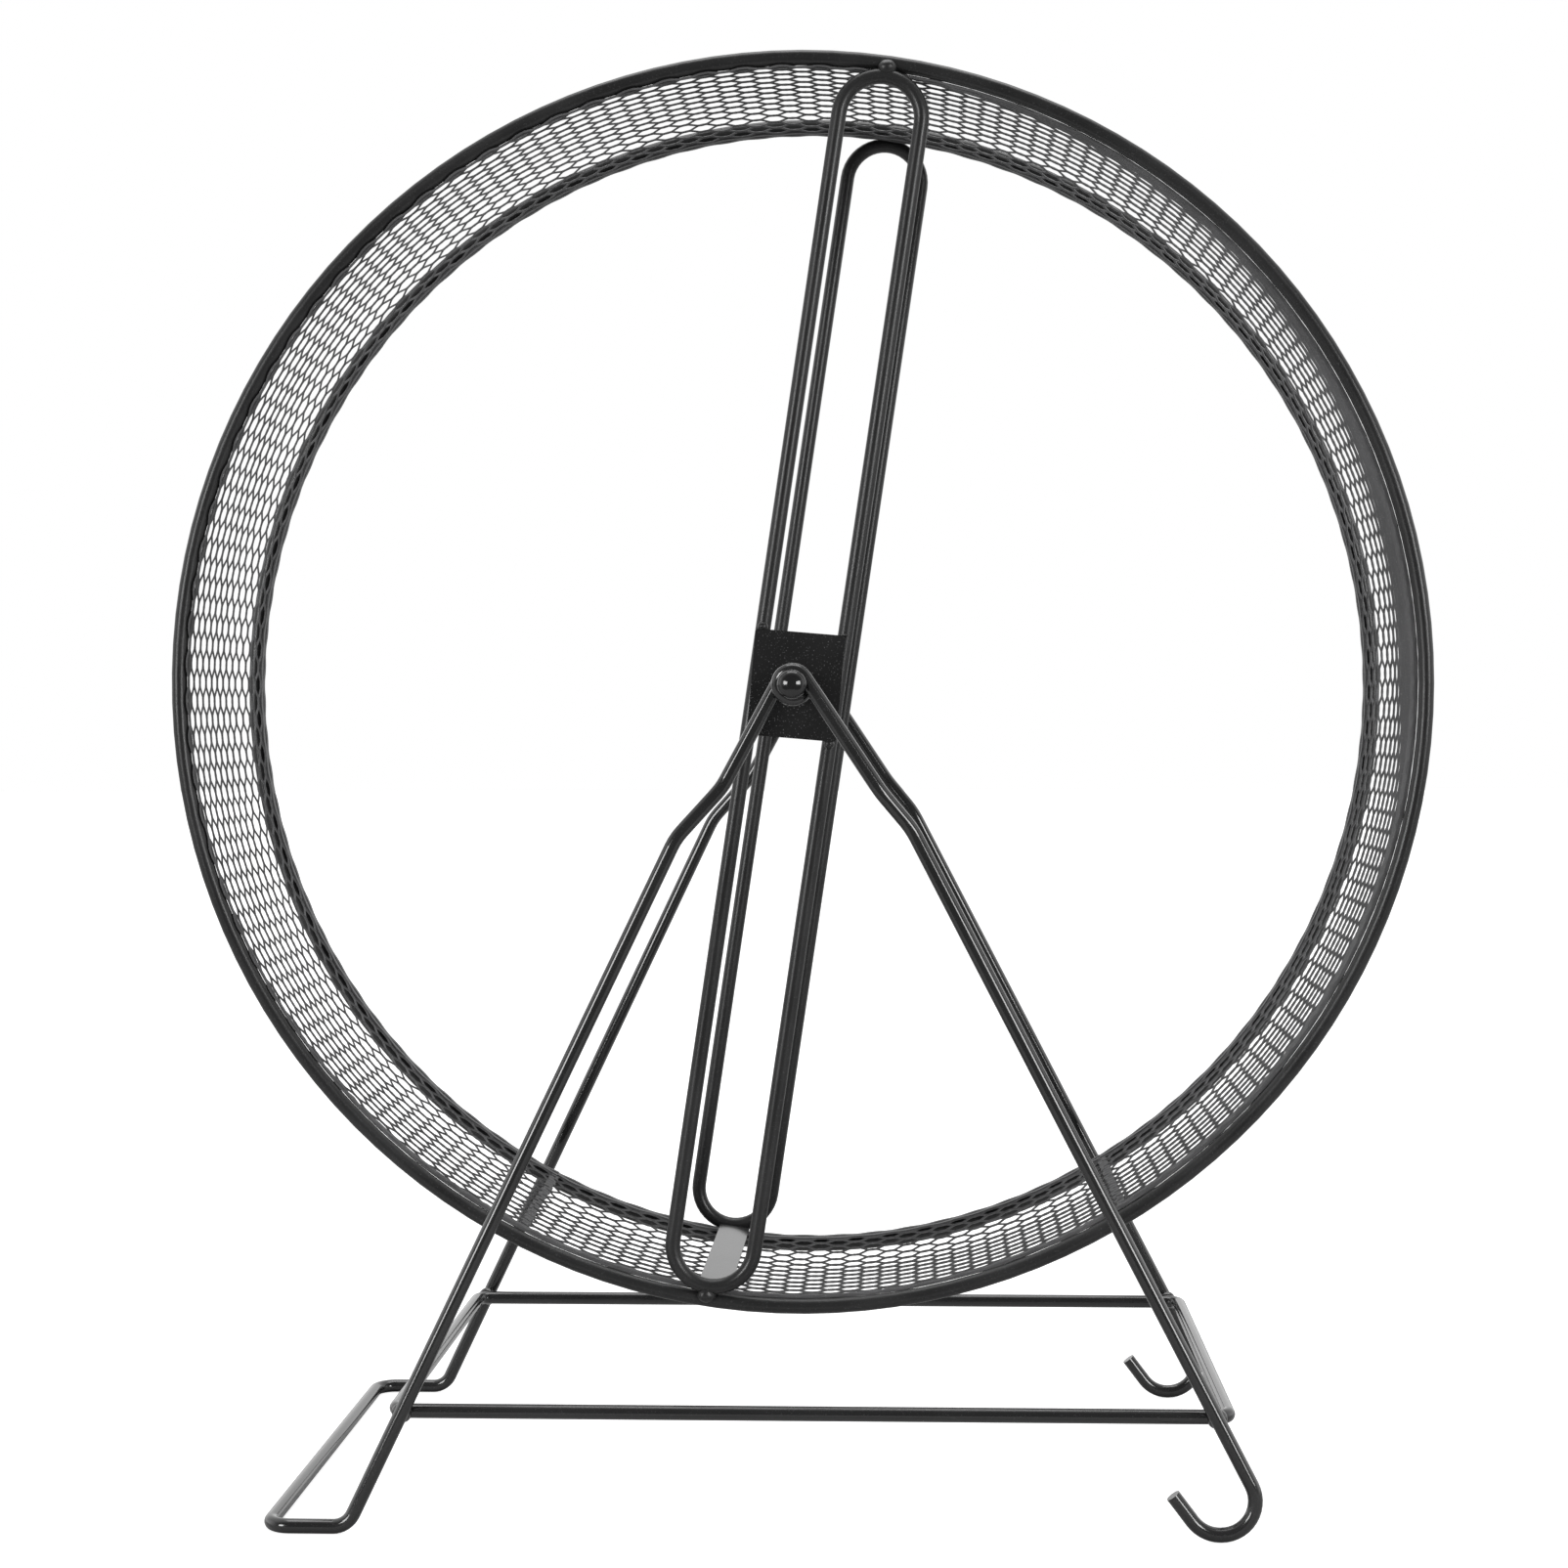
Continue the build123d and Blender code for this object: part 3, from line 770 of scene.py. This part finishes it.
# %% White room
def make_world():
    """White for the camera; for light and reflections, a room that is dark towards -Y, where the
    camera stands, white above and behind, and brighter still at the two sides."""
    world = bpy.data.worlds.new("white room")
    world.use_nodes = True
    tree = world.node_tree
    background = tree.nodes["Background"]
    background.inputs["Color"].default_value = (1, 1, 1, 1)
    place = tree.nodes.new("ShaderNodeTexCoord")
    split = tree.nodes.new("ShaderNodeSeparateXYZ")
    ramp = tree.nodes.new("ShaderNodeMapRange")
    ramp.interpolation_type = "SMOOTHSTEP"
    ramp.inputs["From Min"].default_value = -0.60
    ramp.inputs["From Max"].default_value = 0.15
    ramp.inputs["To Min"].default_value = 0.20
    ramp.inputs["To Max"].default_value = 1.0
    aside = tree.nodes.new("ShaderNodeMath")
    aside.operation = "ABSOLUTE"
    walls = tree.nodes.new("ShaderNodeMapRange")
    walls.interpolation_type = "SMOOTHSTEP"
    walls.inputs["From Min"].default_value = 0.78
    walls.inputs["From Max"].default_value = 0.92
    walls.inputs["To Max"].default_value = 0.3
    both = tree.nodes.new("ShaderNodeMath")
    path = tree.nodes.new("ShaderNodeLightPath")
    pick = tree.nodes.new("ShaderNodeMix")
    pick.inputs["B"].default_value = 1.0
    link_all(tree, (
        (place.outputs["Generated"], split.inputs[0]),
        (split.outputs["Y"], ramp.inputs["Value"]),
        (path.outputs["Is Camera Ray"], pick.inputs["Factor"]),
        (split.outputs["X"], aside.inputs[0]),
        (aside.outputs[0], walls.inputs["Value"]),
        (ramp.outputs["Result"], both.inputs[0]),
        (walls.outputs["Result"], both.inputs[1]),
        (both.outputs[0], pick.inputs["A"]),
        (pick.outputs["Result"], background.inputs["Strength"]),
    ))
    return world


bpy.context.scene.world = make_world()
print("world", bpy.context.scene.world.name)


# %% Lamps
def placed(right, up, back, place):
    """The matrix that puts an object at a place, with its own three axes along those given."""
    return Matrix([[right[i], up[i], back[i], place[i]] for i in range(3)] + [[0, 0, 0, 1]])


def soft_lamp(name, place, target, size, watts):
    """A rectangular lamp at a place. It shines along its -Z axis, so its +Z axis points from the
    target back to it."""
    data = bpy.data.lights.new(name, "AREA")
    data.shape = "RECTANGLE"
    data.size, data.size_y = size
    data.energy = watts
    lamp = bpy.data.objects.new(name, data)
    towards = np.array(target) - np.array(place)
    back = -towards / np.linalg.norm(towards)
    right = np.cross([0, 0, 1], back)
    right = right / np.linalg.norm(right)
    lamp.matrix_world = placed(right, np.cross(back, right), back, place)
    bpy.context.collection.objects.link(lamp)


centre = (0, 0, axle_height)
lamp_aside, lamp_front, lamp_above = 0.98, -1.11, 0.22
for side, lamp_name in ((-1, "left lamp"), (1, "right lamp")):
    place = (side * lamp_aside, lamp_front, axle_height + lamp_above)
    soft_lamp(lamp_name, place, centre, size=(0.42, 0.5), watts=7)
soft_lamp("top lamp", (0.0, 0.2, 1.6), centre, size=(1.2, 0.8), watts=8)

# %% [markdown]
# ## Camera
#
# The place, turn and lens were worked out from the photograph: known points of the model, such as
# the foot's corners, the hooks and the loops' ends, were matched with their places in it. Setting
# them by eye would be quicker, but wires this thin show an error of a few millimetres.

# %% Camera
image_width = 1604
focal_pixels = 2917.0
sensor_width = 36.0
yaw, pitch, roll = np.radians([2.666, 1.424, -0.198])
camera_place = np.array([0.0275, -0.69294, axle_height - 0.00635])
forward = np.array([-np.sin(yaw) * np.cos(pitch), np.cos(yaw) * np.cos(pitch), -np.sin(pitch)])
level = np.array([np.cos(yaw), np.sin(yaw), 0.0])
upright = np.cross(level, forward)
right = np.cos(roll) * level + np.sin(roll) * upright
up = -np.sin(roll) * level + np.cos(roll) * upright
camera_data = bpy.data.cameras.new("camera")
camera_data.sensor_width = sensor_width
camera_data.lens = sensor_width * focal_pixels / image_width
camera_data.clip_start = 0.01
camera = bpy.data.objects.new("camera", camera_data)
camera.matrix_world = placed(right, up, -forward, camera_place)
bpy.context.collection.objects.link(camera)
bpy.context.scene.camera = camera
bpy.context.scene.view_settings.view_transform = "Standard"
print("lens", round(camera_data.lens, 2), "mm at", camera_place)
